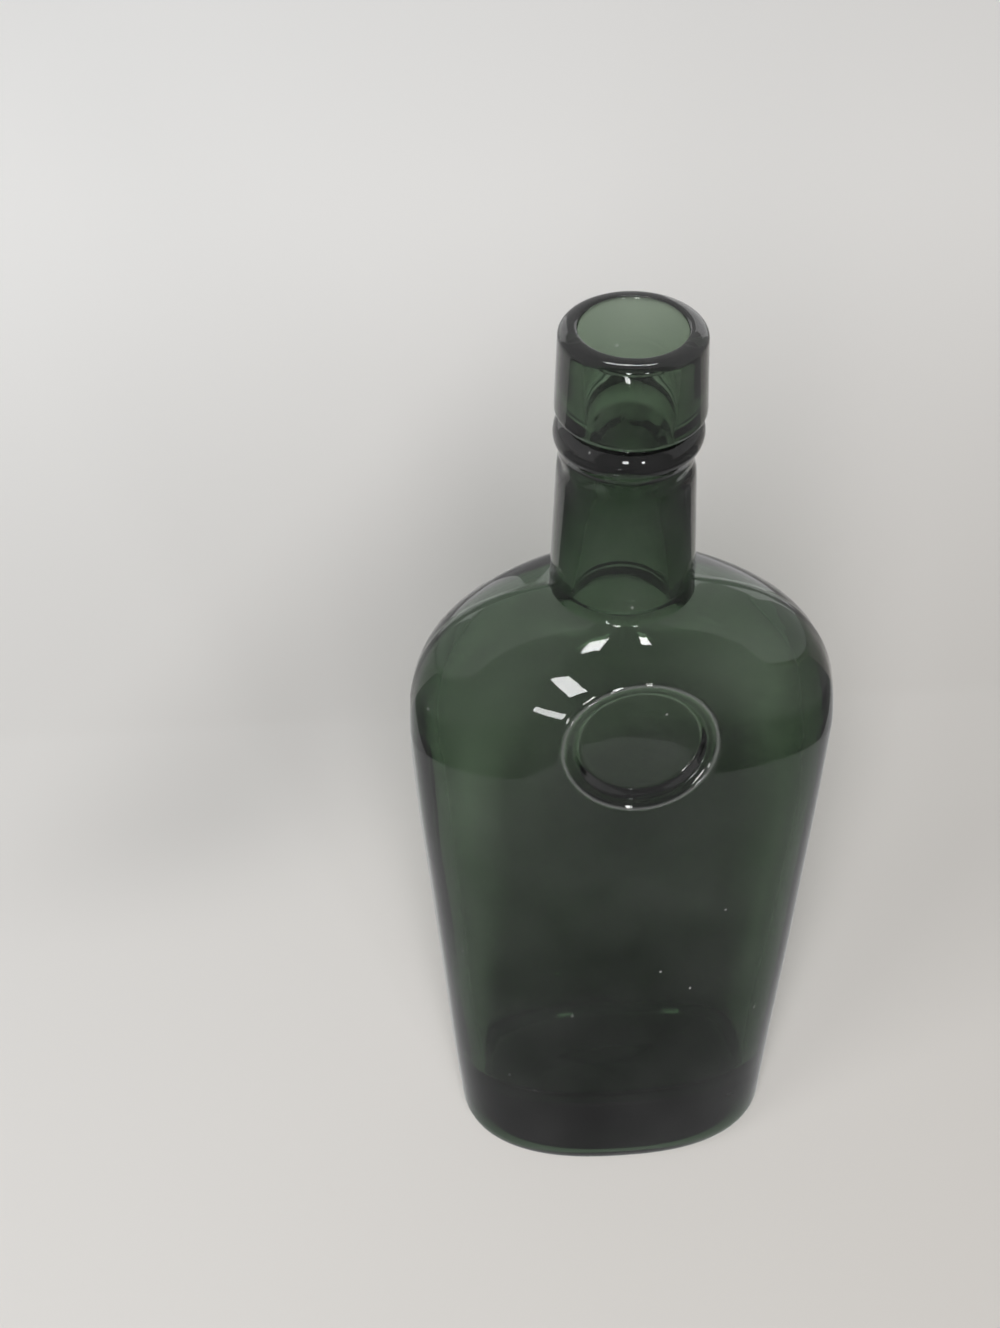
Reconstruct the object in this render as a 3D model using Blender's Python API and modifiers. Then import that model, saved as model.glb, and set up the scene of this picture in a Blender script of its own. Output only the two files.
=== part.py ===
"""A flattened oval whisky flask of dark green glass, empty and unstoppered.

Units are metres and +Z is up. The bottle stands on Z = 0 at the origin. Its width runs along X, its
depth along Y, and the front, with the sunk medallion, faces -Y.

Three pieces of glass make the real bottle: the blown body with its neck, a string ring laid round the
neck, and a collar put over the neck's end that forms the mouth.
"""
import math

import bmesh
import bpy

# Body, outside
BODY_HEIGHT = 0.1217
SHOULDER_HEIGHT = 0.0391
BASE_WIDTH = 0.0720
BASE_DEPTH = 0.0494
SHOULDER_WIDTH = 0.0953
SHOULDER_DEPTH = 0.0430
HEEL_RADIUS = 0.0064
SHOULDER_FILLET = 0.0050
FRONT_FILLET = 0.0085

# Base and walls
WALL = 0.0036
FLOOR_THICKNESS = 0.0060
BEARING_WIDTH = 0.0030
PUSH_UP_HEIGHT = 0.0035

# Neck, measured outwards from its bore
NECK_LENGTH = 0.0349
NECK_BORE_RADIUS = 0.0102
MOUTH_FLARE = 0.0012
SPIGOT_WALL = 0.0018
NECK_STEP = 0.0014
NECK_SPREAD = 0.0012

# String ring and collar, measured outwards from the neck's end
SEAM_GAP = 0.0003
RING_HEIGHT = 0.0079
RING_EDGE_WALL = 0.0014
RING_CROWN = 0.0010
COLLAR_HEIGHT = 0.0208
COLLAR_WALL = 0.0020
COLLAR_SPREAD = 0.0005
COLLAR_FOOT_ROUND = 0.0012
LIP_THICKNESS = 0.0035
LIP_LAND = 0.0009
LIP_ROUND_HEIGHT = 0.0022

# Sunk medallion on the front face
MEDALLION_RADIUS = 0.0170
MEDALLION_SLOPE_WIDTH = 0.0038
MEDALLION_RISE = 0.0091
MEDALLION_OFFSET = 0.0015
MEDALLION_WALL = 0.0014

# How far a cutter runs past what it cuts, and how near two points are to be one
OVERRUN = 0.0010
MERGE_DISTANCE = 0.00001

# How full each curve is: 1 gives an ellipse, smaller shares give squarer curves
BASE_ROUND_SHARE = 0.83
SHOULDER_ROUND_SHARE = 0.86
WIDTH_START_SHARE = 0.83
WIDTH_END_SHARE = 0.69
DEPTH_START_SHARE = 0.46
DEPTH_END_SHARE = 0.60
SIDE_BOW_SHARE = 0.93

# Glass colour, roughness and index of refraction
BODY_GREEN = (0.035, 0.062, 0.042, 1.0)
FINISH_GREEN = (0.042, 0.070, 0.050, 1.0)
GLASS_ROUGHNESS = 0.06
GLASS_CLEARNESS = 0.85
GLASS_IOR = 1.52

# How finely each stretch is divided
SECTION_POINTS = 56
HEEL_STEPS = 5
SIDE_STEPS = 6
SHOULDER_STEPS = 16
DOME_STEPS = 3
ROUND_STEPS = 6
MEDALLION_POINTS = 48
MEDALLION_STEPS = 6
SHARP_ANGLE = math.radians(30)

# Heights worked out from the sizes above
NECK_ROOT = BODY_HEIGHT + SHOULDER_HEIGHT
NECK_TOP = NECK_ROOT + NECK_LENGTH
RING_FOOT = NECK_TOP + SEAM_GAP
RING_TOP = RING_FOOT + RING_HEIGHT
COLLAR_FOOT = RING_TOP + SEAM_GAP
LIP_TOP = COLLAR_FOOT + COLLAR_HEIGHT
LIP_UNDERSIDE = LIP_TOP - LIP_THICKNESS
SPIGOT_TOP = LIP_UNDERSIDE - SEAM_GAP

# Radii worked out from the bore outwards
MOUTH_RADIUS = NECK_BORE_RADIUS + MOUTH_FLARE
SPIGOT_RADIUS = MOUTH_RADIUS + SPIGOT_WALL
SLEEVE_RADIUS = SPIGOT_RADIUS + SEAM_GAP
NECK_TOP_RADIUS = SPIGOT_RADIUS + NECK_STEP
NECK_ROOT_RADIUS = NECK_TOP_RADIUS + NECK_SPREAD
RING_EDGE_RADIUS = SLEEVE_RADIUS + RING_EDGE_WALL
RING_RADIUS = RING_EDGE_RADIUS + RING_CROWN
COLLAR_TOP_RADIUS = SLEEVE_RADIUS + COLLAR_WALL
COLLAR_FOOT_RADIUS = COLLAR_TOP_RADIUS + COLLAR_SPREAD

# The medallion is as deep as the wall allows
MEDALLION_DEPTH = WALL - MEDALLION_WALL
MEDALLION_HEIGHT = BODY_HEIGHT + MEDALLION_RISE


def clear_scene():
    for old in list(bpy.data.objects):
        bpy.data.objects.remove(old, do_unlink=True)


def new_collection(name):
    group = bpy.data.collections.new(name)
    bpy.context.scene.collection.children.link(group)
    return group


def glass(name, colour):
    material = bpy.data.materials.new(name)
    material.use_nodes = True
    shader = material.node_tree.nodes["Principled BSDF"]
    shader.inputs["Base Color"].default_value = colour
    shader.inputs["Metallic"].default_value = 0.0
    shader.inputs["Roughness"].default_value = GLASS_ROUGHNESS
    shader.inputs["IOR"].default_value = GLASS_IOR
    shader.inputs["Transmission Weight"].default_value = GLASS_CLEARNESS
    return material


def clamp(value):
    return min(max(value, 0.0), 1.0)


def smooth_larger(first, second, reach):
    """The larger of two sizes, rounded off where they come within reach of each other."""
    weight = clamp((1 + (first - second) / reach) / 2)
    return second + (first - second) * weight + reach * weight * (1 - weight)


def neck_radius(height):
    """Outside radius of the neck, which narrows slightly from its root to the ring."""
    share = clamp((height - NECK_ROOT) / NECK_LENGTH)
    return NECK_ROOT_RADIUS - NECK_SPREAD * share


def bore_radius(height):
    """Radius of the bore, which opens slightly from the ring to the mouth."""
    share = clamp((height - NECK_TOP) / (LIP_TOP - NECK_TOP))
    return NECK_BORE_RADIUS + MOUTH_FLARE * share


def flank(height, foot, widest, rise, start_share, end_share):
    """Half a width or depth of the body: a bowed side below, a full shoulder curve above."""
    if height < BODY_HEIGHT:
        bow = (1 - height / BODY_HEIGHT) ** (1 / SIDE_BOW_SHARE)
        return widest - (widest - foot) * bow
    share = clamp((height - BODY_HEIGHT) / rise)
    return widest * (1 - share ** (2 / start_share)) ** (end_share / 2)


def body_sizes(height, inset):
    """Half width, half depth and roundness of the body, for its outside or for a surface inside it."""
    core = bore_radius(height) if inset else neck_radius(height)
    rise = SHOULDER_HEIGHT - inset
    width = flank(height, BASE_WIDTH / 2 - inset, SHOULDER_WIDTH / 2 - inset, rise,
                  WIDTH_START_SHARE, WIDTH_END_SHARE)
    depth = flank(height, BASE_DEPTH / 2 - inset, SHOULDER_DEPTH / 2 - inset, rise,
                  DEPTH_START_SHARE, DEPTH_END_SHARE)
    low = clamp(height / BODY_HEIGHT)
    high = clamp((height - BODY_HEIGHT) / rise)
    side_round = BASE_ROUND_SHARE + (SHOULDER_ROUND_SHARE - BASE_ROUND_SHARE) * low
    roundness = side_round + (1 - side_round) * high
    return (smooth_larger(width, core, SHOULDER_FILLET),
            smooth_larger(depth, core, FRONT_FILLET), roundness)


def section(half_width, half_depth, roundness, height):
    """One closed oval ring of points, starting at +X and turning towards +Y."""
    ring = []
    for step in range(SECTION_POINTS):
        angle = math.tau * step / SECTION_POINTS
        cosine = math.cos(angle)
        sine = math.sin(angle)
        ring.append((math.copysign(half_width * abs(cosine) ** roundness, cosine),
                     math.copysign(half_depth * abs(sine) ** roundness, sine), height))
    return ring


def round_section(radius, height):
    return section(radius, radius, 1.0, height)


def heel_sections(inset, floor):
    """Rings up the rounded heel of the outside, or of the cavity above its floor."""
    rings = []
    for step in range(HEEL_STEPS):
        angle = math.pi / 2 * step / HEEL_STEPS
        height = floor + HEEL_RADIUS * (1 - math.cos(angle))
        half_width, half_depth, roundness = body_sizes(height, inset)
        drawn_in = HEEL_RADIUS * (1 - math.sin(angle))
        rings.append(section(half_width - drawn_in, half_depth - drawn_in, roundness, height))
    return rings


def wall_sections(inset, floor, extra=()):
    """Rings up the sides, at any extra heights, and over the shoulders to the neck's root."""
    heights = list(extra)
    side_foot = floor + HEEL_RADIUS
    for step in range(SIDE_STEPS):
        heights.append(side_foot + (BODY_HEIGHT - side_foot) * step / SIDE_STEPS)
    for step in range(SHOULDER_STEPS + 1):
        angle = math.pi / 2 * step / SHOULDER_STEPS
        heights.append(BODY_HEIGHT + (SHOULDER_HEIGHT - inset) * math.sin(angle))
    return [section(*body_sizes(height, inset), height) for height in sorted(heights)]


def dome_sections(inset, floor, edge):
    """Rings of the domed base, from the middle out to the given distance inside the outline."""
    half_width, half_depth, roundness = body_sizes(floor, inset)
    rings = [[(0.0, 0.0, floor + PUSH_UP_HEIGHT)]]
    for step in range(1, DOME_STEPS + 1):
        share = step / DOME_STEPS
        height = floor + PUSH_UP_HEIGHT * (1 - share * share)
        rings.append(section((half_width - edge) * share, (half_depth - edge) * share,
                             roundness, height))
    return rings


def loft(name, rings, material, group):
    """A closed solid whose skin runs from ring to ring; its first and last rings are single points."""
    mesh = bmesh.new()
    rows = [[mesh.verts.new(point) for point in ring] for ring in rings]
    for below, above in zip(rows, rows[1:]):
        count = max(len(below), len(above))
        for index in range(count):
            after = (index + 1) % count
            corners = [below[index % len(below)], below[after % len(below)],
                       above[after % len(above)], above[index % len(above)]]
            mesh.faces.new(list(dict.fromkeys(corners)))
    data = bpy.data.meshes.new(name)
    mesh.to_mesh(data)
    mesh.free()
    data.shade_smooth()
    data.set_sharp_from_angle(angle=SHARP_ANGLE)
    solid = bpy.data.objects.new(name, data)
    if material:
        data.materials.append(material)
    group.objects.link(solid)
    return solid


def turned(name, profile, material, group):
    """A closed profile, drawn at +X and turned once round Z."""
    data = bpy.data.meshes.new(name)
    corners = [(radius, 0.0, height) for radius, height in profile]
    edges = [(index, (index + 1) % len(corners)) for index in range(len(corners))]
    data.from_pydata(corners, edges, [])
    data.materials.append(material)
    solid = bpy.data.objects.new(name, data)
    group.objects.link(solid)
    screw = solid.modifiers.new("turn", "SCREW")
    screw.steps = SECTION_POINTS
    screw.render_steps = SECTION_POINTS
    screw.use_merge_vertices = True
    screw.merge_threshold = MERGE_DISTANCE
    screw.use_smooth_shade = True
    return solid


def front_y(across, height):
    """Where the body's front face lies at a place on it."""
    half_width, half_depth, roundness = body_sizes(height, 0.0)
    power = 2 / roundness
    return -half_depth * (1 - clamp(abs(across) / half_width) ** power) ** (1 / power)


def medallion_cutter(group):
    """The space of the sunk medallion: its floor follows the face, and its wall is an S-curve to the rim."""
    floor_radius = MEDALLION_RADIUS - MEDALLION_SLOPE_WIDTH
    outside = -SHOULDER_DEPTH / 2 - OVERRUN
    steps = [(floor_radius / 2, MEDALLION_DEPTH)]
    for step in range(MEDALLION_STEPS + 1):
        share = step / MEDALLION_STEPS
        steps.append((floor_radius + MEDALLION_SLOPE_WIDTH * share,
                      MEDALLION_DEPTH * (1 + math.cos(math.pi * share)) / 2))
    rim_slope = steps[-2][1] / (MEDALLION_SLOPE_WIDTH / MEDALLION_STEPS)
    steps.append((MEDALLION_RADIUS + OVERRUN, -OVERRUN * rim_slope))

    def ring(radius, depth):
        points = []
        for step in range(MEDALLION_POINTS):
            angle = math.tau * step / MEDALLION_POINTS
            across = MEDALLION_OFFSET + radius * math.cos(angle)
            height = MEDALLION_HEIGHT + radius * math.sin(angle)
            points.append((across, front_y(across, height) + depth, height))
        return points

    centre_y = front_y(MEDALLION_OFFSET, MEDALLION_HEIGHT) + MEDALLION_DEPTH
    rings = [[(MEDALLION_OFFSET, centre_y, MEDALLION_HEIGHT)]]
    rings += [ring(radius, depth) for radius, depth in steps]
    rings.append([(x, outside, z) for x, y, z in rings[-1]])
    rings.append([(MEDALLION_OFFSET, outside, MEDALLION_HEIGHT)])
    cutter = loft("medallion_cutter", rings, None, group)
    cutter.hide_render = True
    cutter.display_type = "WIRE"
    return cutter


def blown_body(group, cutters):
    """The blown gather: base, body, shoulders and the neck with the narrower spigot at its end."""
    outline_edge = HEEL_RADIUS + BEARING_WIDTH
    rings = dome_sections(0.0, 0.0, outline_edge)
    rings += heel_sections(0.0, 0.0)
    rings += wall_sections(0.0, 0.0, [MEDALLION_HEIGHT - MEDALLION_RADIUS - OVERRUN])
    rings.append(round_section(NECK_TOP_RADIUS, NECK_TOP))
    rings.append(round_section(SPIGOT_RADIUS, NECK_TOP))
    rings.append(round_section(SPIGOT_RADIUS, SPIGOT_TOP))
    rings.append(round_section(bore_radius(SPIGOT_TOP), SPIGOT_TOP))
    rings.append(round_section(bore_radius(NECK_TOP), NECK_TOP))
    inside = heel_sections(WALL, FLOOR_THICKNESS) + wall_sections(WALL, FLOOR_THICKNESS)
    rings += reversed(inside)
    rings += reversed(dome_sections(WALL, FLOOR_THICKNESS, HEEL_RADIUS)[:-1])
    body = loft("blown_body", rings, glass("dark_green_glass_body", BODY_GREEN), group)
    cut = body.modifiers.new("medallion", "BOOLEAN")
    cut.operation = "DIFFERENCE"
    cut.solver = "EXACT"
    cut.object = medallion_cutter(cutters)
    return body


def arc(centre_radius, centre_height, reach_out, reach_up, start, end):
    """Points on part of an ellipse, between two angles measured up from outwards."""
    points = []
    for step in range(ROUND_STEPS + 1):
        angle = start + (end - start) * step / ROUND_STEPS
        points.append((centre_radius + reach_out * math.cos(angle),
                       centre_height + reach_up * math.sin(angle)))
    return points


def string_ring(group):
    """The round ring under the collar, crowned on its outer side and flush with the neck below."""
    middle = (RING_FOOT + RING_TOP) / 2
    profile = [(SLEEVE_RADIUS, RING_TOP)]
    profile += arc(RING_EDGE_RADIUS, middle, RING_CROWN, RING_HEIGHT / 2, math.pi / 2, 0.0)
    profile += arc(NECK_TOP_RADIUS, middle, RING_RADIUS - NECK_TOP_RADIUS, RING_HEIGHT / 2,
                   0.0, -math.pi / 2)[1:]
    profile.append((SLEEVE_RADIUS, RING_FOOT))
    return turned("string_ring", profile, glass("dark_green_glass_ring", FINISH_GREEN), group)


def lip_collar(group):
    """The tall collar: a sleeve over the neck's end, closed above it by the mouth's rounded rim."""
    land_edge = MOUTH_RADIUS + LIP_LAND
    profile = [(MOUTH_RADIUS, LIP_TOP)]
    profile += arc(land_edge, LIP_TOP - LIP_ROUND_HEIGHT, COLLAR_TOP_RADIUS - land_edge,
                   LIP_ROUND_HEIGHT, math.pi / 2, 0.0)
    profile += arc(COLLAR_FOOT_RADIUS - COLLAR_FOOT_ROUND, COLLAR_FOOT + COLLAR_FOOT_ROUND,
                   COLLAR_FOOT_ROUND, COLLAR_FOOT_ROUND, 0.0, -math.pi / 2)
    profile.append((SLEEVE_RADIUS, COLLAR_FOOT))
    profile.append((SLEEVE_RADIUS, LIP_UNDERSIDE))
    profile.append((bore_radius(LIP_UNDERSIDE), LIP_UNDERSIDE))
    return turned("lip_collar", profile, glass("dark_green_glass_collar", FINISH_GREEN), group)


def main():
    clear_scene()
    bottle = new_collection("whisky_bottle")
    cutters = new_collection("cutters")
    blown_body(bottle, cutters)
    string_ring(bottle)
    lip_collar(bottle)


main()
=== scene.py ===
"""An empty whisky flask of dark green glass, standing on a pale sheet of paper.

Units are metres and +Z is up, as in the frame. The front, with the sunk medallion, faces -Y.
The three glass pieces of the model are welded on a real bottle, so they are shown as one skin of glass
with an outside, a mouth and an inside.
"""

import math

import bpy
import numpy as np
from mathutils import Matrix, Vector


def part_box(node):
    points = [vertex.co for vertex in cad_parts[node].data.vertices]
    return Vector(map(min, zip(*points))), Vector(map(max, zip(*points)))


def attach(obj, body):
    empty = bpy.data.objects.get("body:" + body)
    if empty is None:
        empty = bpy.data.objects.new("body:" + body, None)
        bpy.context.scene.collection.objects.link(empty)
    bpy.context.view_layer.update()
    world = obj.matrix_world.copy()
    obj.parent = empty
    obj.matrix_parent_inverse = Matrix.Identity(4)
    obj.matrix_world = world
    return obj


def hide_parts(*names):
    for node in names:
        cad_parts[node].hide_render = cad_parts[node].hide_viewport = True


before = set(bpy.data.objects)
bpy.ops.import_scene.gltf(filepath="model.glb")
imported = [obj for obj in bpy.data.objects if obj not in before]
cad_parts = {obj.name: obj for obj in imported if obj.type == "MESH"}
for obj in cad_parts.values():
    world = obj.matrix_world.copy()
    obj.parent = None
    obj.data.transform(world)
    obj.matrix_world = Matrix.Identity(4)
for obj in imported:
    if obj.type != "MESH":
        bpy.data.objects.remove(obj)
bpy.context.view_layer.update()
MM = 0.001

# Sizes read from the frame
BODY_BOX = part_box("blown_body")
RING_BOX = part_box("string_ring")
COLLAR_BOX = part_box("lip_collar")
LIP_TOP = COLLAR_BOX[1].z
COLLAR_FOOT = COLLAR_BOX[0].z
RING_TOP = RING_BOX[1].z
NECK_TOP = RING_BOX[0].z
COLLAR_FOOT_RADIUS = COLLAR_BOX[1].x
RING_RADIUS = RING_BOX[1].x
SHOULDER_HALF_WIDTH = BODY_BOX[1].x

# Body, outside. The shares are powers of its curves: 1 is a true ellipse or straight side, less is fuller.
BODY_HEIGHT = 121.7 * MM
SHOULDER_HEIGHT = 39.1 * MM
BASE_HALF_WIDTH = 36.0 * MM
BASE_HALF_DEPTH = 24.7 * MM
SHOULDER_HALF_DEPTH = 21.5 * MM
HEEL_RADIUS = 6.4 * MM
SHOULDER_FILLET = 5.0 * MM
FRONT_FILLET = 8.5 * MM
BEARING_WIDTH = 3.0 * MM
PUSH_UP_HEIGHT = 3.5 * MM
NECK_ROOT = BODY_HEIGHT + SHOULDER_HEIGHT
BASE_ROUND_SHARE = 0.83
SHOULDER_ROUND_SHARE = 0.86
WIDTH_SHARES = (0.83, 0.69)
DEPTH_SHARES = (0.46, 0.60)
SIDE_BOW_SHARE = 0.93

# Neck and mouth
NECK_ROOT_RADIUS = 15.8 * MM
NECK_TOP_RADIUS = 14.6 * MM
BORE_RADIUS = 6.9 * MM
THROAT_RADIUS = 9.9 * MM
THROAT_FOOT = NECK_TOP - 3.5 * MM
THROAT_HEAD = NECK_TOP + 5.0 * MM
MOUTH_RADIUS = 11.4 * MM
RING_ROUND = 3.3 * MM
COLLAR_TOP_RADIUS = 15.5 * MM
COLLAR_FOOT_ROUND = 2.0 * MM
LIP_ROUND_HEIGHT = 2.2 * MM
LIP_LAND = 0.9 * MM
MOUTH_EDGE_ROUND = 0.7 * MM

# The hand that finished the mouth left it a little off the body's axis
LEAN_AT_ROOT = -1.0 * MM
LEAN_AT_RING = -0.9 * MM
LEAN_AT_MOUTH = -0.4 * MM

# Inside: the glass ran thick at the narrow sides, on the shoulders and in the base.
# Thicknesses are measured across the glass, by the height of the outside.
# Each thin place in the front: its place across, its height, its reach and how much thinner, in mm.
WALL_HEIGHTS = np.array([0, 60, 122, 148, 160, 182]) * MM
FRONT_WALLS = np.array([8.0, 5.8, 4.5, 4.6, 5.2, 7.7]) * MM
BACK_WALLS = np.array([9.4, 5.4, 4.2, 5.0, 6.0, 7.7]) * MM
SIDE_WALLS = np.array([6.6, 5.6, 5.6, 5.8, 5.6, 7.7]) * MM
MEDALLION_GLASS = 4.6 * MM
MEDALLION_GLASS_HEIGHT = 114.0 * MM
MEDALLION_GLASS_REACH = (23 * MM, 27 * MM)
THIN_PLACES = ((-28, 112, 19, 1.7), (-26, 132, 13, 1.2), (26, 138, 14, 1.9))
FLOOR_THICKNESS = 12.0 * MM
FLOOR_DOME = 0.3 * MM
INSIDE_HEEL_RADIUS = 11.0 * MM

# Sunk medallion
MEDALLION_RADIUS = 17.0 * MM
MEDALLION_FLOOR_RADIUS = 13.1 * MM
MEDALLION_SLOPE = 1.9 * MM
MEDALLION_SHELF_DEPTH = 0.35 * MM
MEDALLION_DEPTH = 2.3 * MM
MEDALLION_HEIGHT = 130.8 * MM
MEDALLION_OFFSET = 1.5 * MM
MEDALLION_MARGIN = 1.0 * MM
RIM_HEIGHT = 0.42 * MM
RIM_HALF_WIDTH = 0.5 * MM

# How finely the skin is divided: distances between rings or columns, and how many rings a curve gets
FINE_STEP = 0.3 * MM
SIDE_STEP = 3.4 * MM
NECK_STEP = 1.2 * MM
COLLAR_STEP = 1.5 * MM
BORE_STEP = 0.7 * MM
PUSH_UP_RINGS = 12
HEEL_RINGS = 12
SHOULDER_RINGS = 60
STRING_RING_RINGS = 24
COLLAR_FOOT_RINGS = 7
LIP_RINGS = 12
MOUTH_EDGE_RINGS = 6
INSIDE_SHOULDER_RINGS = 70
INSIDE_HEEL_RINGS = 40
FLOOR_RINGS = 24
BACK_COLUMNS = 75
COLUMN_GROWTH = 1.16
WIDEST_COLUMN = math.radians(2.4)

# Unevenness of blown glass: how far a swell rises, how long it is, and over what height it fades out.
# Each seed picks one fixed set of waves.
OUTSIDE_SWELL = 0.10 * MM
OUTSIDE_SWELL_LENGTH = 34 * MM
INSIDE_SWELL = 0.30 * MM
INSIDE_SWELL_LENGTH = 48 * MM
SWELL_FADE_AT_NECK = 10 * MM
SWELL_FADE_AT_BASE = 20 * MM
SWELL_WAVES = 9
OUTSIDE_SEED = 3
INSIDE_SEED = 8
WELD_SEED = 5
WELD_LUMP = 0.35 * MM
WELD_LUMP_LENGTH = 9 * MM
WELD_HEIGHT = 5.5 * MM
SEAM_HEIGHT = 0.25 * MM

# Fine surface of the glass. Real wear is finer than 1.3 mm: it is drawn as coarse as the picture shows.
# A clarity of 1 is clean glass, and what is missing from 1 scatters light as dust or wear does.
WHITTLE_LENGTH = 9 * MM
WEAR_LENGTH = 1.3 * MM
WEAR_SHARE = 0.012
BUMP_DEPTH = 0.03 * MM
DUST_CLOUD_LENGTH = 26 * MM
SPECK_SPACING = 11 * MM
HAZE_CLARITY = 0.988
SPECK_CLARITY = 0.85
# At the medallion's rim the glass is clouded for a painted highlight: a thin pale ring
RIM_CLARITY = 0.93
RIM_HIGHLIGHT_FROM = 0.15 * MM
RIM_HIGHLIGHT_TO = 0.55 * MM
FRONT_FACE_FROM = -19.2 * MM
FRONT_FACE_TO = -18.8 * MM

# The soft shade painted on the paper: its turn from straight across, and how far behind the bottle it lies
PAINTED_SHADE_TURN = math.radians(56)
PAINTED_SHADE_PLACE = 143 * MM

# The near edge of the paper, as the front mirrors it: half sizes of the area that is paper
PAPER_HALF_WIDTH = 198 * MM
PAPER_HALF_DEPTH = 176 * MM

# How brightly the cards that the glass mirrors glow, where 1 is white: the mirrored paper has painted
# shade, darkest close to the bottle
CLOSE_PAPER_LIGHT = 0.17
EDGE_PAPER_LIGHT = 0.55
BESIDE_PAPER_LIGHT = 0.58
CLOSE_TABLE_LIGHT = 0.2
FAR_TABLE_LIGHT = 0.32
ROOM_LIGHT = 0.35
WALL_LIGHT = 1.6

# The camera that took the photograph: where it stood, how it was turned, its focal length in pixels
CAMERA_PLACE = Vector((-68.7, -506.3, 548.0)) * MM
CAMERA_PITCH = math.radians(38.84)
CAMERA_TURN = math.radians(-4.66)
CAMERA_ROLL = math.radians(0.08)
FOCAL_PX = 2966
PHOTO_HEIGHT_PX = 1328
SENSOR_MM = 36


def clamp(value):
    return min(max(value, 0.0), 1.0)


def ease(share):
    """Runs from 0 to 1 with soft ends."""
    share = clamp(share)
    return share * share * (3 - 2 * share)


def smooth_larger(first, second, reach):
    """The larger of two sizes, rounded off where they come within reach of each other."""
    weight = clamp((1 + (first - second) / reach) / 2)
    return second + (first - second) * weight + reach * weight * (1 - weight)


def domed(share):
    """Height of a low dome, from 1 at its middle to 0 with a soft foot at its edge."""
    return (1 - share * share) ** 2


def flank(height, foot, widest, rise, shares):
    """Half a width or depth of the body: a bowed side below, a full shoulder curve above."""
    if height < BODY_HEIGHT:
        return widest - (widest - foot) * (1 - height / BODY_HEIGHT) ** (1 / SIDE_BOW_SHARE)
    share = clamp((height - BODY_HEIGHT) / rise)
    return widest * (1 - share ** (2 / shares[0])) ** (shares[1] / 2)


def neck_radius(height):
    share = clamp((height - NECK_ROOT) / (NECK_TOP - NECK_ROOT))
    return NECK_ROOT_RADIUS + (NECK_TOP_RADIUS - NECK_ROOT_RADIUS) * share


def bore_radius(height):
    if height < THROAT_HEAD:
        share = clamp((height - THROAT_FOOT) / (THROAT_HEAD - THROAT_FOOT))
        return BORE_RADIUS + (THROAT_RADIUS - BORE_RADIUS) * share
    return THROAT_RADIUS + (MOUTH_RADIUS - THROAT_RADIUS) * (height - THROAT_HEAD) / (LIP_TOP - THROAT_HEAD)


def roundness(height, rise):
    """Power of the body's outline seen from above: below 1 is squarer than an ellipse."""
    low = clamp(height / BODY_HEIGHT)
    high = clamp((height - BODY_HEIGHT) / rise)
    side = BASE_ROUND_SHARE + (SHOULDER_ROUND_SHARE - BASE_ROUND_SHARE) * low
    return side + (1 - side) * high


def outside_sizes(height):
    """Half width, half depth and roundness of the outside of body and neck."""
    core = neck_radius(height)
    width = flank(height, BASE_HALF_WIDTH, SHOULDER_HALF_WIDTH, SHOULDER_HEIGHT, WIDTH_SHARES)
    depth = flank(height, BASE_HALF_DEPTH, SHOULDER_HALF_DEPTH, SHOULDER_HEIGHT, DEPTH_SHARES)
    return (smooth_larger(width, core, SHOULDER_FILLET),
            smooth_larger(depth, core, FRONT_FILLET), roundness(height, SHOULDER_HEIGHT))


def lean(height):
    """How far the neck and mouth stand to one side at a height."""
    to_root = LEAN_AT_ROOT * ease((height - BODY_HEIGHT) / SHOULDER_HEIGHT)
    up_neck = (LEAN_AT_RING - LEAN_AT_ROOT) * clamp((height - NECK_ROOT) / (NECK_TOP - NECK_ROOT))
    at_mouth = (LEAN_AT_MOUTH - LEAN_AT_RING) * ease((height - NECK_TOP) / (RING_TOP - NECK_TOP))
    return to_root + up_neck + at_mouth


def steps(first, last, spacing):
    """Evenly spaced values from first towards last, without last itself."""
    count = max(1, round(abs(last - first) / spacing))
    return [first + (last - first) * step / count for step in range(count)]


def quarter(centre_radius, centre_height, out, up, start, end, count):
    """Rings along part of an ellipse, between two angles measured up from outwards."""
    rings = []
    for step in range(count):
        angle = math.radians(start + (end - start) * step / count)
        radius = centre_radius + out * math.cos(angle)
        rings.append((radius, radius, 1.0, centre_height + up * math.sin(angle)))
    return rings


def dome_rings(count):
    """Rings of the push-up under the base, from near its middle out to the ring it stands on."""
    half_width, half_depth, power = outside_sizes(0.0)
    edge = HEEL_RADIUS + BEARING_WIDTH
    rings = []
    for step in range(1, count + 1):
        share = step / count
        rings.append(((half_width - edge) * share, (half_depth - edge) * share, power,
                      PUSH_UP_HEIGHT * domed(share)))
    return rings


def heel_rings(count):
    """Rings up the rounded heel."""
    rings = []
    for step in range(count):
        angle = math.pi / 2 * step / count
        height = HEEL_RADIUS * (1 - math.cos(angle))
        half_width, half_depth, power = outside_sizes(height)
        drawn_in = HEEL_RADIUS * (1 - math.sin(angle))
        rings.append((half_width - drawn_in, half_depth - drawn_in, power, height))
    return rings


def side_rings(heights):
    return [(*outside_sizes(height), height) for height in heights]


def shoulder_heights(foot, count):
    """Heights up the shoulder to the neck's root, close together where the shoulder lies flat."""
    start = math.asin((foot - BODY_HEIGHT) / SHOULDER_HEIGHT)
    return [BODY_HEIGHT + SHOULDER_HEIGHT * math.sin(start + (math.pi / 2 - start) * step / count)
            for step in range(count)]


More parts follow.
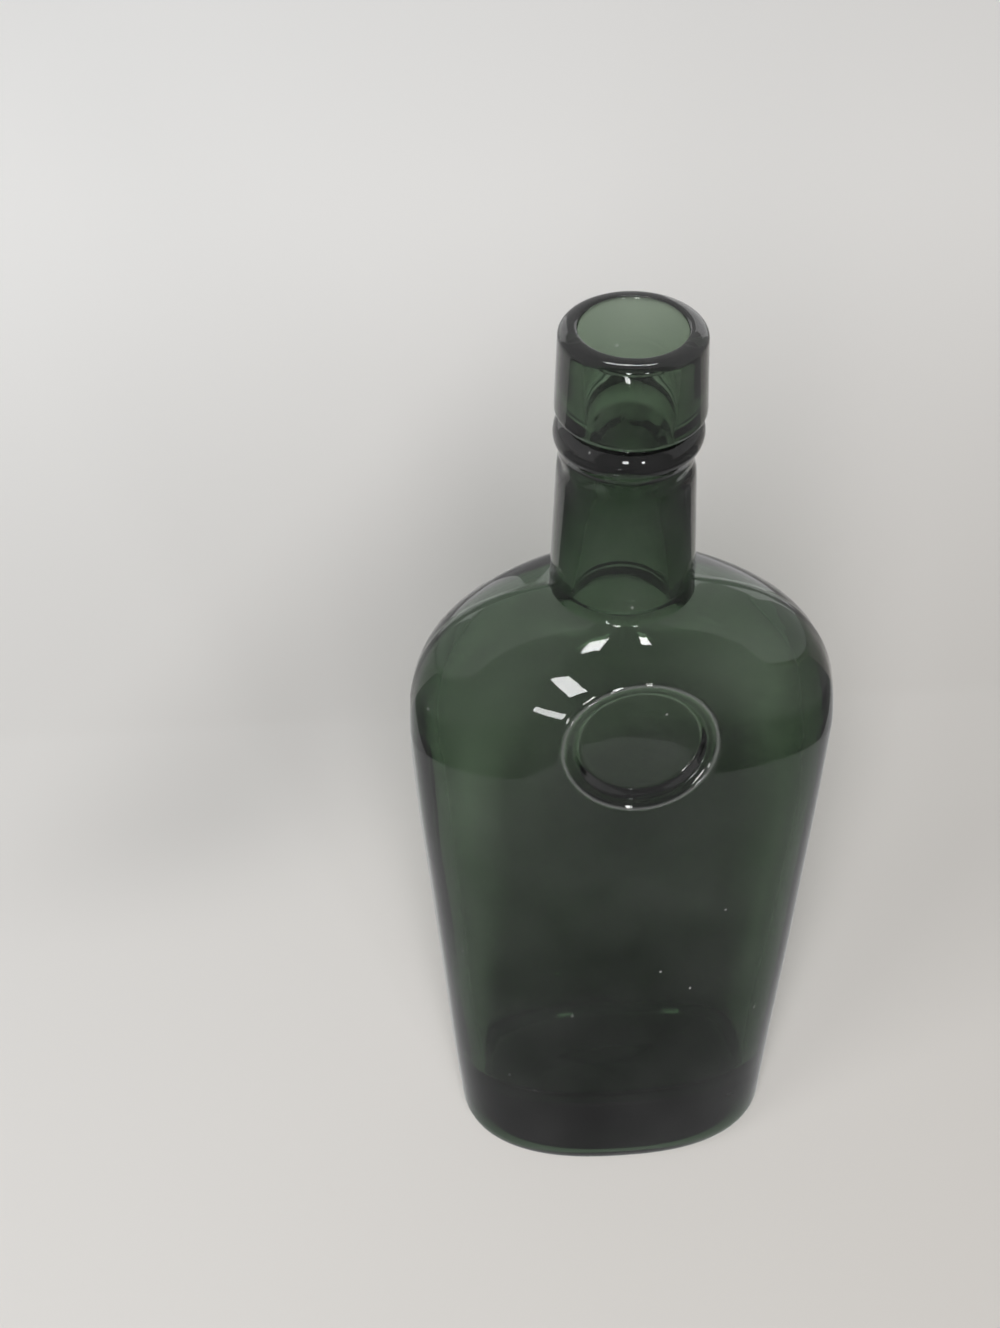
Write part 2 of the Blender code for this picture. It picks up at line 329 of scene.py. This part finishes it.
def outside_rings():
    """Every ring of the outside, from the base's middle to the mouth's edge."""
    medallion_foot = MEDALLION_HEIGHT - MEDALLION_RADIUS - MEDALLION_MARGIN
    medallion_head = MEDALLION_HEIGHT + MEDALLION_RADIUS + MEDALLION_MARGIN
    weld_foot = NECK_TOP - WELD_HEIGHT
    heights = steps(HEEL_RADIUS, medallion_foot, SIDE_STEP)
    heights += steps(medallion_foot, medallion_head, FINE_STEP)
    heights += shoulder_heights(medallion_head, SHOULDER_RINGS)
    heights += steps(NECK_ROOT, weld_foot, NECK_STEP)
    heights += steps(weld_foot, NECK_TOP, FINE_STEP)
    middle = (NECK_TOP + RING_TOP) / 2
    half_ring = (RING_TOP - NECK_TOP) / 2
    lip_side = LIP_TOP - LIP_ROUND_HEIGHT
    land = MOUTH_RADIUS + LIP_LAND
    foot_round = COLLAR_FOOT + COLLAR_FOOT_ROUND
    rings = dome_rings(PUSH_UP_RINGS)
    rings += heel_rings(HEEL_RINGS)
    rings += side_rings(heights)
    rings += quarter(RING_RADIUS - RING_ROUND, middle, RING_ROUND, half_ring, -55, 76, STRING_RING_RINGS)
    rings += quarter(COLLAR_FOOT_RADIUS - COLLAR_FOOT_ROUND, foot_round, COLLAR_FOOT_ROUND,
                     COLLAR_FOOT_ROUND, -80, 0, COLLAR_FOOT_RINGS)
    for height in steps(foot_round, lip_side, COLLAR_STEP):
        share = (height - foot_round) / (lip_side - foot_round)
        radius = COLLAR_FOOT_RADIUS + (COLLAR_TOP_RADIUS - COLLAR_FOOT_RADIUS) * share
        rings.append((radius, radius, 1.0, height))
    rings += quarter(land, lip_side, COLLAR_TOP_RADIUS - land, LIP_ROUND_HEIGHT, 0, 90, LIP_RINGS)
    rings += quarter(MOUTH_RADIUS + MOUTH_EDGE_ROUND, LIP_TOP - MOUTH_EDGE_ROUND,
                     MOUTH_EDGE_ROUND, MOUTH_EDGE_ROUND, 90, 180, MOUTH_EDGE_RINGS)
    return rings


def outward(skin):
    """Directions straight out of a skin whose rings run outwards and up."""
    around = np.roll(skin, -1, axis=1) - np.roll(skin, 1, axis=1)
    out = np.cross(around, np.gradient(skin, axis=0))
    return out / np.linalg.norm(out, axis=-1)[..., None]


def wall_thickness(heights, angles):
    """How thick the glass is, measured across it: front, back and sides pass into one another."""
    front, back, side = (np.interp(heights, WALL_HEIGHTS, walls)[:, None]
                         for walls in (FRONT_WALLS, BACK_WALLS, SIDE_WALLS))
    face = np.where(np.sin(angles) < 0, front, back)
    return side + (face - side) * np.sin(angles) ** 2


def inside_skin(angles):
    """The inside, from the mouth's edge down to the middle of the floor."""
    foot = FLOOR_THICKNESS + INSIDE_HEEL_RADIUS
    heights = steps(foot, BODY_HEIGHT, SIDE_STEP)
    heights += shoulder_heights(BODY_HEIGHT, INSIDE_SHOULDER_RINGS)
    heights += steps(NECK_ROOT, THROAT_FOOT, NECK_STEP)
    skin = ring_points(side_rings(heights), angles)
    sides = skin - outward(skin) * wall_thickness(heights, angles)[..., None]
    bore_heights = steps(LIP_TOP - MOUTH_EDGE_ROUND, THROAT_FOOT, BORE_STEP) + [THROAT_FOOT]
    bore = [(bore_radius(height), bore_radius(height), 1.0, height) for height in bore_heights]
    lowest = sides[0]
    half_width, half_depth = lowest[:, 0].max(), lowest[:, 1].max()
    bottom = []
    for step in range(1, INSIDE_HEEL_RINGS + 1):
        angle = math.pi / 2 * step / INSIDE_HEEL_RINGS
        drawn_in = INSIDE_HEEL_RADIUS * (1 - math.cos(angle))
        heel = lowest * (1 - drawn_in / half_width, 1 - drawn_in / half_depth, 0)
        bottom.append(heel + (0, 0, foot - INSIDE_HEEL_RADIUS * math.sin(angle)))
    for step in range(FLOOR_RINGS - 1, 0, -1):
        share = step / FLOOR_RINGS
        bottom.append(heel * share + (0, 0, FLOOR_THICKNESS + FLOOR_DOME * domed(share)))
    return np.concatenate([ring_points(bore, angles), sides[::-1], np.array(bottom)])


def widening(turn, first):
    """Angles over a turn in steps that grow, so that no sudden change of step shows in the glass."""
    sizes = [first]
    while sum(sizes) < turn:
        sizes.append(min(sizes[-1] * COLUMN_GROWTH, WIDEST_COLUMN))
    places = np.cumsum(sizes)
    return turn * places / places[-1]


def columns():
    """Angles round the body: close together across the medallion, wider elsewhere.

    They run from the medallion's left to its right, over the right seam, the back and the left seam.
    """
    half = MEDALLION_RADIUS + 2 * MEDALLION_MARGIN
    count = round(2 * half / FINE_STEP)
    across = (MEDALLION_OFFSET + half * np.linspace(-1, 1, count)) / SHOULDER_HALF_WIDTH
    fine = math.tau - np.arccos(np.sign(across) * np.abs(across) ** (1 / SHOULDER_ROUND_SHARE))
    right_seam = math.tau
    left_seam = math.tau + math.pi
    to_right = fine[-1] + widening(right_seam - fine[-1], fine[-1] - fine[-2])
    round_back = np.linspace(right_seam, left_seam, BACK_COLUMNS + 1)[1:]
    to_front = fine[0] + math.tau - widening(fine[0] + math.tau - left_seam, fine[1] - fine[0])
    return np.concatenate([fine, to_right, round_back, to_front[-2::-1]])


def swells(points, height, length, seed):
    """Soft uneven swells: a few waves in chosen directions, laid over one another."""
    chance = np.random.default_rng(seed)
    total = np.zeros(points.shape[:-1])
    for _ in range(SWELL_WAVES):
        direction = chance.normal(size=3)
        direction /= np.linalg.norm(direction)
        pitch = length * chance.uniform(0.7, 1.5)
        total += np.cos(points @ direction * math.tau / pitch + chance.uniform(0, math.tau))
    return height * total / math.sqrt(SWELL_WAVES)


def ring_points(rings, angles):
    """Points of every ring, as one row of rings by columns by coordinates."""
    width, depth, roundness, height = (np.array(column)[:, None] for column in zip(*rings))
    cosine = np.cos(angles)[None, :]
    sine = np.sin(angles)[None, :]
    x = width * np.sign(cosine) * np.abs(cosine) ** roundness
    y = depth * np.sign(sine) * np.abs(sine) ** roundness
    shift = np.array([lean(value) for value in height[:, 0]])[:, None]
    return np.stack([x + shift, y, np.broadcast_to(height, x.shape)], axis=2)


def sink_medallion(points):
    """Presses the round medallion into the front face, with a fine raised rim round it."""
    x, y, z = points[..., 0], points[..., 1], points[..., 2]
    distance = np.hypot(x - MEDALLION_OFFSET, z - MEDALLION_HEIGHT)
    slope_head = MEDALLION_FLOOR_RADIUS + MEDALLION_SLOPE
    slope = np.clip((distance - MEDALLION_FLOOR_RADIUS) / MEDALLION_SLOPE, 0, 1)
    shelf = np.clip((distance - slope_head) / (MEDALLION_RADIUS - slope_head), 0, 1)
    depth = (MEDALLION_DEPTH - MEDALLION_SHELF_DEPTH) * (1 + np.cos(math.pi * slope)) / 2
    depth += MEDALLION_SHELF_DEPTH * (1 + np.cos(math.pi * shelf)) / 2
    rim = RIM_HEIGHT * np.exp(-((distance - MEDALLION_RADIUS) / RIM_HALF_WIDTH) ** 2)
    y += np.where(y < 0, depth - rim, 0)


def run_of_glass(points):
    """The mould's plug pushed glass in behind the medallion and left it thinner to both sides."""
    x, y, z = points[..., 0], points[..., 1], points[..., 2]
    distance = np.hypot((x - MEDALLION_OFFSET) / MEDALLION_GLASS_REACH[0],
                        (z - MEDALLION_GLASS_HEIGHT) / MEDALLION_GLASS_REACH[1])
    inwards = MEDALLION_GLASS * np.exp(-distance ** 2)
    for across, height, reach, thinner in THIN_PLACES:
        distance = np.hypot(x - across * MM, z - height * MM)
        inwards -= thinner * MM * np.exp(-(distance / (reach * MM)) ** 2)
    y += np.where(y < 0, inwards, 0)


def push_out(skin, distance):
    """Moves the points of a skin out from the body's axis."""
    out = skin * (1, 1, 0)
    out /= np.linalg.norm(out, axis=-1)[..., None]
    skin += out * distance[..., None]


def roughen(outside, inside, angles):
    """The unevenness of hand work: swells in the walls, lumps at the weld, and the mould's seams."""
    for skin, height, length, seed in ((outside, OUTSIDE_SWELL, OUTSIDE_SWELL_LENGTH, OUTSIDE_SEED),
                                       (inside, INSIDE_SWELL, INSIDE_SWELL_LENGTH, INSIDE_SEED)):
        z = skin[..., 2]
        on_body = np.clip((NECK_ROOT - z) / SWELL_FADE_AT_NECK, 0, 1)
        on_body = on_body * np.clip(z / SWELL_FADE_AT_BASE, 0, 1)
        push_out(skin, (swells(skin, height, length, seed) - height) * on_body)
    z = outside[..., 2]
    middle = NECK_TOP - WELD_HEIGHT / 2
    at_weld = np.exp(-((z - middle) / (WELD_HEIGHT / 3)) ** 2)
    push_out(outside, (swells(outside, WELD_LUMP, WELD_LUMP_LENGTH, WELD_SEED) - WELD_LUMP) * at_weld)
    on_seam = np.isclose(np.abs(np.sin(angles)), 0, atol=1e-6)[None, :]
    in_mould = (z > HEEL_RADIUS) & (z < NECK_ROOT)
    room = np.clip((SHOULDER_HALF_WIDTH - SEAM_HEIGHT - np.abs(outside[..., 0])) / SEAM_HEIGHT, 0, 1)
    outside += outward(outside) * (SEAM_HEIGHT * (on_seam & in_mould) * room)[..., None]


def bottle_glass(material):
    """The whole bottle as one closed skin of glass."""
    angles = columns()
    outside = ring_points(outside_rings(), angles)
    inside = inside_skin(angles)
    roughen(outside, inside, angles)
    sink_medallion(outside)
    run_of_glass(inside)
    rings = np.concatenate([outside, inside])
    count, around = rings.shape[:2]
    points = [(0.0, 0.0, PUSH_UP_HEIGHT)]
    points += [tuple(point) for point in rings.reshape(-1, 3)]
    points.append((0.0, 0.0, FLOOR_THICKNESS + FLOOR_DOME))
    last = len(points) - 1
    faces = []
    for column in range(around):
        after = (column + 1) % around
        faces.append((0, 1 + after, 1 + column))
        for ring in range(count - 1):
            low = 1 + ring * around
            high = low + around
            faces.append((low + column, low + after, high + after, high + column))
        top = 1 + (count - 1) * around
        faces.append((top + column, top + after, last))
    mesh = bpy.data.meshes.new("bottle_glass")
    mesh.from_pydata(points, [], faces)
    mesh.shade_smooth()
    mesh.materials.append(material)
    bottle = bpy.data.objects.new("bottle_glass", mesh)
    bpy.context.scene.collection.objects.link(bottle)
    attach(bottle, "root")
    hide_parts("blown_body", "string_ring", "lip_collar")


def linear(colour):
    """A linear colour from an sRGB hex value."""
    values = [int(colour[place:place + 2], 16) / 255 for place in (1, 3, 5)]
    return tuple(v / 12.92 if v <= 0.04045 else ((v + 0.055) / 1.055) ** 2.4 for v in values) + (1.0,)


WHITE = linear("#FFFFFF")


def add(tree, kind, links=(), **settings):
    """Adds a node. settings are its properties, or its sockets' values by name with _ for a space."""
    node = tree.nodes.new(kind)
    for name, value in settings.items():
        socket = node.inputs.get(name.replace("_", " "))
        if socket is None:
            setattr(node, name, value)
        else:
            socket.default_value = value
    for name, source in dict(links).items():
        tree.links.new(source, node.inputs[name])
    return node


def new_material(name):
    material = bpy.data.materials.new(name)
    material.use_nodes = True
    material.node_tree.nodes.clear()
    return material, material.node_tree


def looked_at(tree):
    """1 for what the camera sees, straight, through the glass or mirrored, and 0 for light that falls."""
    kind = add(tree, "ShaderNodeLightPath")
    seen = add(tree, "ShaderNodeMath",
               {0: kind.outputs["Is Camera Ray"], 1: kind.outputs["Is Transmission Ray"]},
               operation="MAXIMUM")
    mirrored = add(tree, "ShaderNodeMath", {0: seen.outputs[0], 1: kind.outputs["Is Glossy Ray"]},
                   operation="MAXIMUM")
    return mirrored.outputs[0]


def painted_rim_highlight(tree, place):
    """The medallion's raised rim is clouded partly white, a painted highlight that shows as a thin pale
    ring.
    """
    centred = add(tree, "ShaderNodeVectorMath", {0: place}, operation="SUBTRACT")
    centred.inputs[1].default_value = (MEDALLION_OFFSET, 0, MEDALLION_HEIGHT)
    flat = add(tree, "ShaderNodeVectorMath", {0: centred.outputs["Vector"]}, operation="MULTIPLY")
    flat.inputs[1].default_value = (1, 0, 1)
    distance = add(tree, "ShaderNodeVectorMath", {0: flat.outputs["Vector"]}, operation="LENGTH")
    off_rim = add(tree, "ShaderNodeMath", {0: distance.outputs["Value"]}, operation="SUBTRACT")
    off_rim.inputs[1].default_value = MEDALLION_RADIUS
    apart = add(tree, "ShaderNodeMath", {0: off_rim.outputs[0]}, operation="ABSOLUTE")
    clear_of_rim = add(tree, "ShaderNodeMapRange", {"Value": apart.outputs[0]}, From_Min=RIM_HIGHLIGHT_FROM,
                       From_Max=RIM_HIGHLIGHT_TO, To_Min=RIM_CLARITY, To_Max=1.0)
    split = add(tree, "ShaderNodeSeparateXYZ", {"Vector": place})
    behind = add(tree, "ShaderNodeMapRange", {"Value": split.outputs["Y"]}, From_Min=FRONT_FACE_FROM,
                 From_Max=FRONT_FACE_TO)
    both = add(tree, "ShaderNodeMath", {0: clear_of_rim.outputs[0], 1: behind.outputs[0]},
               operation="MAXIMUM")
    return both.outputs[0]


def blown_green_glass():
    """Soda-lime glass coloured by iron, blown in an iron mould: clear, dark where it is thick.

    Its skin is whittled, finely worn and a little dusty, with a few specks. Its medallion rim is clouded as
    a painted highlight.
    """
    material, tree = new_material("blown_green_glass")
    place = add(tree, "ShaderNodeTexCoord").outputs["Object"]
    whittle = add(tree, "ShaderNodeTexNoise", {"Vector": place}, Scale=1 / WHITTLE_LENGTH, Detail=2.0)
    wear = add(tree, "ShaderNodeTexNoise", {"Vector": place}, Scale=1 / WEAR_LENGTH, Detail=3.0)
    faint = add(tree, "ShaderNodeMath", {0: wear.outputs["Fac"]}, operation="MULTIPLY")
    faint.inputs[1].default_value = WEAR_SHARE
    height = add(tree, "ShaderNodeMath", {0: whittle.outputs["Fac"], 1: faint.outputs[0]}, operation="ADD")
    bump = add(tree, "ShaderNodeBump", {"Height": height.outputs[0]}, Strength=1.0, Distance=BUMP_DEPTH)
    cloud = add(tree, "ShaderNodeTexNoise", {"Vector": place}, Scale=1 / DUST_CLOUD_LENGTH, Detail=5.0,
                Roughness=0.6)
    haze = add(tree, "ShaderNodeMapRange", {"Value": cloud.outputs["Fac"]}, From_Min=0.35, From_Max=0.7,
               To_Min=1.0, To_Max=HAZE_CLARITY)
    dust = add(tree, "ShaderNodeTexVoronoi", {"Vector": place}, Scale=1 / SPECK_SPACING)
    speck = add(tree, "ShaderNodeMapRange", {"Value": dust.outputs["Distance"]}, From_Min=0.02,
                From_Max=0.045, To_Min=SPECK_CLARITY, To_Max=1.0)
    soiled = add(tree, "ShaderNodeMath", {0: haze.outputs[0], 1: speck.outputs[0]}, operation="MINIMUM")
    # The rim's clouding is a painted highlight
    clarity = add(tree, "ShaderNodeMath", {0: soiled.outputs[0], 1: painted_rim_highlight(tree, place)},
                  operation="MINIMUM")
    surface = add(tree, "ShaderNodeBsdfPrincipled",
                  {"Normal": bump.outputs["Normal"], "Transmission Weight": clarity.outputs[0]},
                  Base_Color=WHITE, Roughness=0.02, IOR=1.52)
    kind = add(tree, "ShaderNodeLightPath")
    clear = add(tree, "ShaderNodeBsdfTransparent", Color=linear("#F7F7F7"))
    shown = add(tree, "ShaderNodeMixShader",
                {0: kind.outputs["Is Shadow Ray"], 1: surface.outputs[0], 2: clear.outputs[0]})
    tint = add(tree, "ShaderNodeVolumeAbsorption", Color=linear("#4D8B48"), Density=250.0)
    add(tree, "ShaderNodeOutputMaterial", {"Surface": shown.outputs[0], "Volume": tint.outputs[0]})
    return material


def floor_paper():
    """Matt paper, a little warm. Painted light makes it darker near on the right and palest far behind on
    the left.

    A painted soft shade lies aslant behind the bottle's left. Far behind, a painted glow makes the sheet
    look lighter than the lamps light it.
    """
    material, tree = new_material("floor_paper")
    place = add(tree, "ShaderNodeTexCoord").outputs["Object"]
    apart = add(tree, "ShaderNodeSeparateXYZ", {"Vector": place})
    slant = add(tree, "ShaderNodeVectorMath", {0: place}, operation="DOT_PRODUCT")
    slant.inputs[1].default_value = (-math.sin(PAINTED_SHADE_TURN), math.cos(PAINTED_SHADE_TURN), 0)
    # The painted shade fades out to both of its long sides, towards the right, the far left and the bottle
    masks = []
    for source, low, high in ((slant.outputs["Value"], PAINTED_SHADE_PLACE - 60 * MM, PAINTED_SHADE_PLACE),
                              (slant.outputs["Value"], PAINTED_SHADE_PLACE + 65 * MM, PAINTED_SHADE_PLACE),
                              (apart.outputs["X"], 60 * MM, -20 * MM),
                              (apart.outputs["X"], -260 * MM, -90 * MM),
                              (apart.outputs["Y"], 55 * MM, 115 * MM)):
        mask = add(tree, "ShaderNodeMapRange", {"Value": source}, interpolation_type="SMOOTHSTEP",
                   From_Min=low, From_Max=high)
        masks.append(mask.outputs["Result"])
    shade = masks[0]
    for mask in masks[1:]:
        shade = add(tree, "ShaderNodeMath", {0: shade, 1: mask}, operation="MULTIPLY").outputs[0]
    # Painted light: the paper is painted lighter from near on the right to far on the left
    across = add(tree, "ShaderNodeVectorMath", {0: place}, operation="DOT_PRODUCT")
    across.inputs[1].default_value = (-0.88, 0.47, 0)
    far = add(tree, "ShaderNodeMapRange", {"Value": across.outputs["Value"]}, From_Min=-135 * MM,
              From_Max=411 * MM)
    paper = add(tree, "ShaderNodeMix", {0: far.outputs["Result"]}, data_type="RGBA")
    paper.inputs[6].default_value = linear("#CCC8C3")
    paper.inputs[7].default_value = linear("#E9E8E6")
    # Painted shade: the paper is darkened where the shade lies
    shaded = add(tree, "ShaderNodeMix", {0: shade, 6: paper.outputs[2]}, data_type="RGBA")
    shaded.inputs[7].default_value = linear("#CCCAC7")
    # Painted light: far behind, the paper glows a little where it is seen, straight, through the glass or
    # mirrored
    back = add(tree, "ShaderNodeMapRange", {"Value": apart.outputs["Y"]}, interpolation_type="SMOOTHSTEP",
               From_Min=120 * MM, From_Max=480 * MM, To_Max=0.2)
    painted_far_glow = add(tree, "ShaderNodeMath", {0: back.outputs["Result"], 1: looked_at(tree)},
                operation="MULTIPLY")
    surface = add(tree, "ShaderNodeBsdfPrincipled",
                  {"Base Color": shaded.outputs[2], "Emission Strength": painted_far_glow.outputs[0]},
                  Roughness=0.9, Emission_Color=WHITE)
    add(tree, "ShaderNodeOutputMaterial", {"Surface": surface.outputs[0]})
    return material


def sheet(name, width, depth, centre, material):
    """A flat sheet of the stage, lying level, with its size and place in metres."""
    bpy.ops.mesh.primitive_plane_add(size=1.0, location=centre)
    board = bpy.context.object
    board.name = name
    board.scale = (width, depth, 1)
    bpy.ops.object.transform_apply(location=False, rotation=False, scale=True)
    board.data.materials.append(material)
    return board


def only_reflected(card):
    """Hides a card of the stage from everything but reflections."""
    card.visible_camera = False
    card.visible_diffuse = False
    card.visible_transmission = False
    card.visible_shadow = False


def glow(name, brightness):
    """A material that shines evenly, where a brightness of 1 is white."""
    material, tree = new_material(name)
    light = add(tree, "ShaderNodeEmission", Color=WHITE, Strength=brightness)
    add(tree, "ShaderNodeOutputMaterial", {"Surface": light.outputs[0]})
    return material


def reflected_card(name, centre, size, turn, brightness):
    """A plain card that only the glass mirrors, placed and sized in mm and turned in degrees."""
    card = sheet(name, size[0] * MM, size[1] * MM, Vector(centre) * MM, glow(name, brightness))
    card.rotation_euler = [math.radians(angle) for angle in turn]
    only_reflected(card)


def front_table():
    """A painted reflection: a glowing sheet that only the glass mirrors, of the near part of the paper with
    painted shade, and of a darker table beyond its edge.
    """
    material, tree = new_material("front_table")
    place = add(tree, "ShaderNodeNewGeometry").outputs["Position"]
    apart = add(tree, "ShaderNodeSeparateXYZ", {"Vector": place})
    front = add(tree, "ShaderNodeMath", {0: apart.outputs["Y"]}, operation="MINIMUM")
    front.inputs[1].default_value = 0.0
    flat = add(tree, "ShaderNodeCombineXYZ", {"X": apart.outputs["X"], "Y": front.outputs[0]})
    scaled = add(tree, "ShaderNodeVectorMath", {0: flat.outputs[0]}, operation="MULTIPLY")
    scaled.inputs[1].default_value = (1 / PAPER_HALF_WIDTH, 1 / PAPER_HALF_DEPTH, 0)
    reach = add(tree, "ShaderNodeVectorMath", {0: scaled.outputs["Vector"]}, operation="LENGTH")
    # Painted shade: the mirrored paper is darkest close to the bottle
    near = add(tree, "ShaderNodeMapRange", {"Value": reach.outputs["Value"]}, From_Min=0.3, From_Max=1.0,
               To_Min=CLOSE_PAPER_LIGHT, To_Max=EDGE_PAPER_LIGHT)
    beside = add(tree, "ShaderNodeMapRange", {"Value": apart.outputs["Y"]}, From_Min=-90 * MM,
                 From_Max=0.0)
    paper = add(tree, "ShaderNodeMix", {0: beside.outputs["Result"], 2: near.outputs["Result"]})
    paper.inputs[3].default_value = BESIDE_PAPER_LIGHT
    table = add(tree, "ShaderNodeMapRange", {"Value": reach.outputs["Value"]}, From_Min=1.38,
                From_Max=1.55, To_Min=CLOSE_TABLE_LIGHT, To_Max=FAR_TABLE_LIGHT)
    edge = add(tree, "ShaderNodeMapRange", {"Value": reach.outputs["Value"]}, From_Min=0.985, From_Max=1.0)
    both = add(tree, "ShaderNodeMix", {0: edge.outputs["Result"], 2: paper.outputs[0],
                                       3: table.outputs["Result"]})
    light = add(tree, "ShaderNodeEmission", {"Strength": both.outputs[0]}, Color=WHITE)
    add(tree, "ShaderNodeOutputMaterial", {"Surface": light.outputs[0]})
    return material


def staging():
    """The paper floor, and what stands round the bottle as its glass mirrors it."""
    sheet("paper_floor", 8.0, 8.0, (0, 0, -0.1 * MM), floor_paper())
    only_reflected(sheet("front_table", 3.0, 1.8, (0, -0.75, 0.2 * MM), front_table()))
    reflected_card("dim_room", (0, -1650, 2500), (5000, 5000), (90, 0, 0), ROOM_LIGHT)
    reflected_card("left_wall", (-1700, 2700, 1000), (2200, 2000), (90, 0, 0), WALL_LIGHT)
    reflected_card("right_wall", (1700, 2700, 1000), (2200, 2000), (90, 0, 0), WALL_LIGHT)
    # The light on the lip
    reflected_card("ceiling_card", (0, 300, 1800), (900, 260), (0, 0, 0), 12)
    # The two slanting lights left of the medallion, and a dim card that keeps the first off the collar
    reflected_card("upright_card", (-80, -312, 67), (34, 102), (90, -33, 0), 15)
    reflected_card("low_card", (-34.5, -77.7, 107), (19, 4), (90, 20, 0), 12)
    reflected_card("shade_card", (-20, -100, 155), (46, 34), (90, 0, 0), 0.26)


def lamp(name, azimuth, elevation, distance, width, height, power):
    """A soft lamp that faces the bottle's middle, placed by its direction as seen from the bottle.

    The azimuth and elevation are in degrees, lengths in metres and the power in watts.
    """
    data = bpy.data.lights.new(name, "AREA")
    data.shape = "RECTANGLE"
    data.size = width
    data.size_y = height
    data.energy = power
    light = bpy.data.objects.new(name, data)
    bpy.context.scene.collection.objects.link(light)
    flat = distance * math.cos(math.radians(elevation))
    towards = Vector((flat * math.sin(math.radians(azimuth)), -flat * math.cos(math.radians(azimuth)),
                      distance * math.sin(math.radians(elevation))))
    light.location = Vector((0, 0, LIP_TOP / 2)) + towards
    light.rotation_euler = (-towards).to_track_quat("-Z", "Y").to_euler()
    return light


def room_light():
    """The room lights the bottle faintly, a little more from behind, and looks pale itself."""
    world = bpy.data.worlds.new("room")
    world.use_nodes = True
    tree = world.node_tree
    tree.nodes.clear()
    direction = add(tree, "ShaderNodeTexCoord").outputs["Generated"]
    apart = add(tree, "ShaderNodeSeparateXYZ", {"Vector": direction})
    back = add(tree, "ShaderNodeMapRange", {"Value": apart.outputs["Y"]}, interpolation_type="SMOOTHSTEP",
               From_Min=-0.9, From_Max=0.3, To_Min=0.04, To_Max=0.09)
    room = add(tree, "ShaderNodeBackground", {"Strength": back.outputs["Result"]}, Color=WHITE)
    pale = add(tree, "ShaderNodeBackground", Color=linear("#DADADA"), Strength=1.0)
    both = add(tree, "ShaderNodeMixShader", {0: looked_at(tree), 1: room.outputs[0], 2: pale.outputs[0]})
    add(tree, "ShaderNodeOutputWorld", {"Surface": both.outputs[0]})
    bpy.context.scene.world = world


def studio_light():
    """Two softboxes that light the bottle but lay no image on it, and two windows that it mirrors."""
    for name, azimuth, elevation, size, power in (("main_softbox", -7.7, 40, 1.05, 94),
                                                  ("left_softbox", -50, 42, 1.2, 16)):
        softbox = lamp(name, azimuth, elevation, 3.0, size, size, power)
        softbox.visible_glossy = False
        softbox.visible_transmission = False
    lamp("left_window", -12, 24, 1.6, 0.22, 0.40, 5)
    lamp("right_window", 14, 22, 1.6, 0.12, 0.24, 2)


def photo_camera():
    """The camera stands where the fit to the photographed outline puts it."""
    data = bpy.data.cameras.new("photo_camera")
    data.sensor_width = SENSOR_MM
    data.lens = FOCAL_PX * SENSOR_MM / PHOTO_HEIGHT_PX
    camera = bpy.data.objects.new("photo_camera", data)
    bpy.context.scene.collection.objects.link(camera)
    turn = Matrix.Rotation(CAMERA_TURN, 4, "Z")
    tilt = Matrix.Rotation(math.pi / 2 - CAMERA_PITCH, 4, "X")
    roll = Matrix.Rotation(CAMERA_ROLL, 4, "Z")
    camera.matrix_world = Matrix.Translation(CAMERA_PLACE) @ turn @ tilt @ roll
    bpy.context.scene.camera = camera


photo_camera()
bottle_glass(blown_green_glass())
staging()
room_light()
studio_light()
bpy.context.scene.view_settings.view_transform = "Standard"
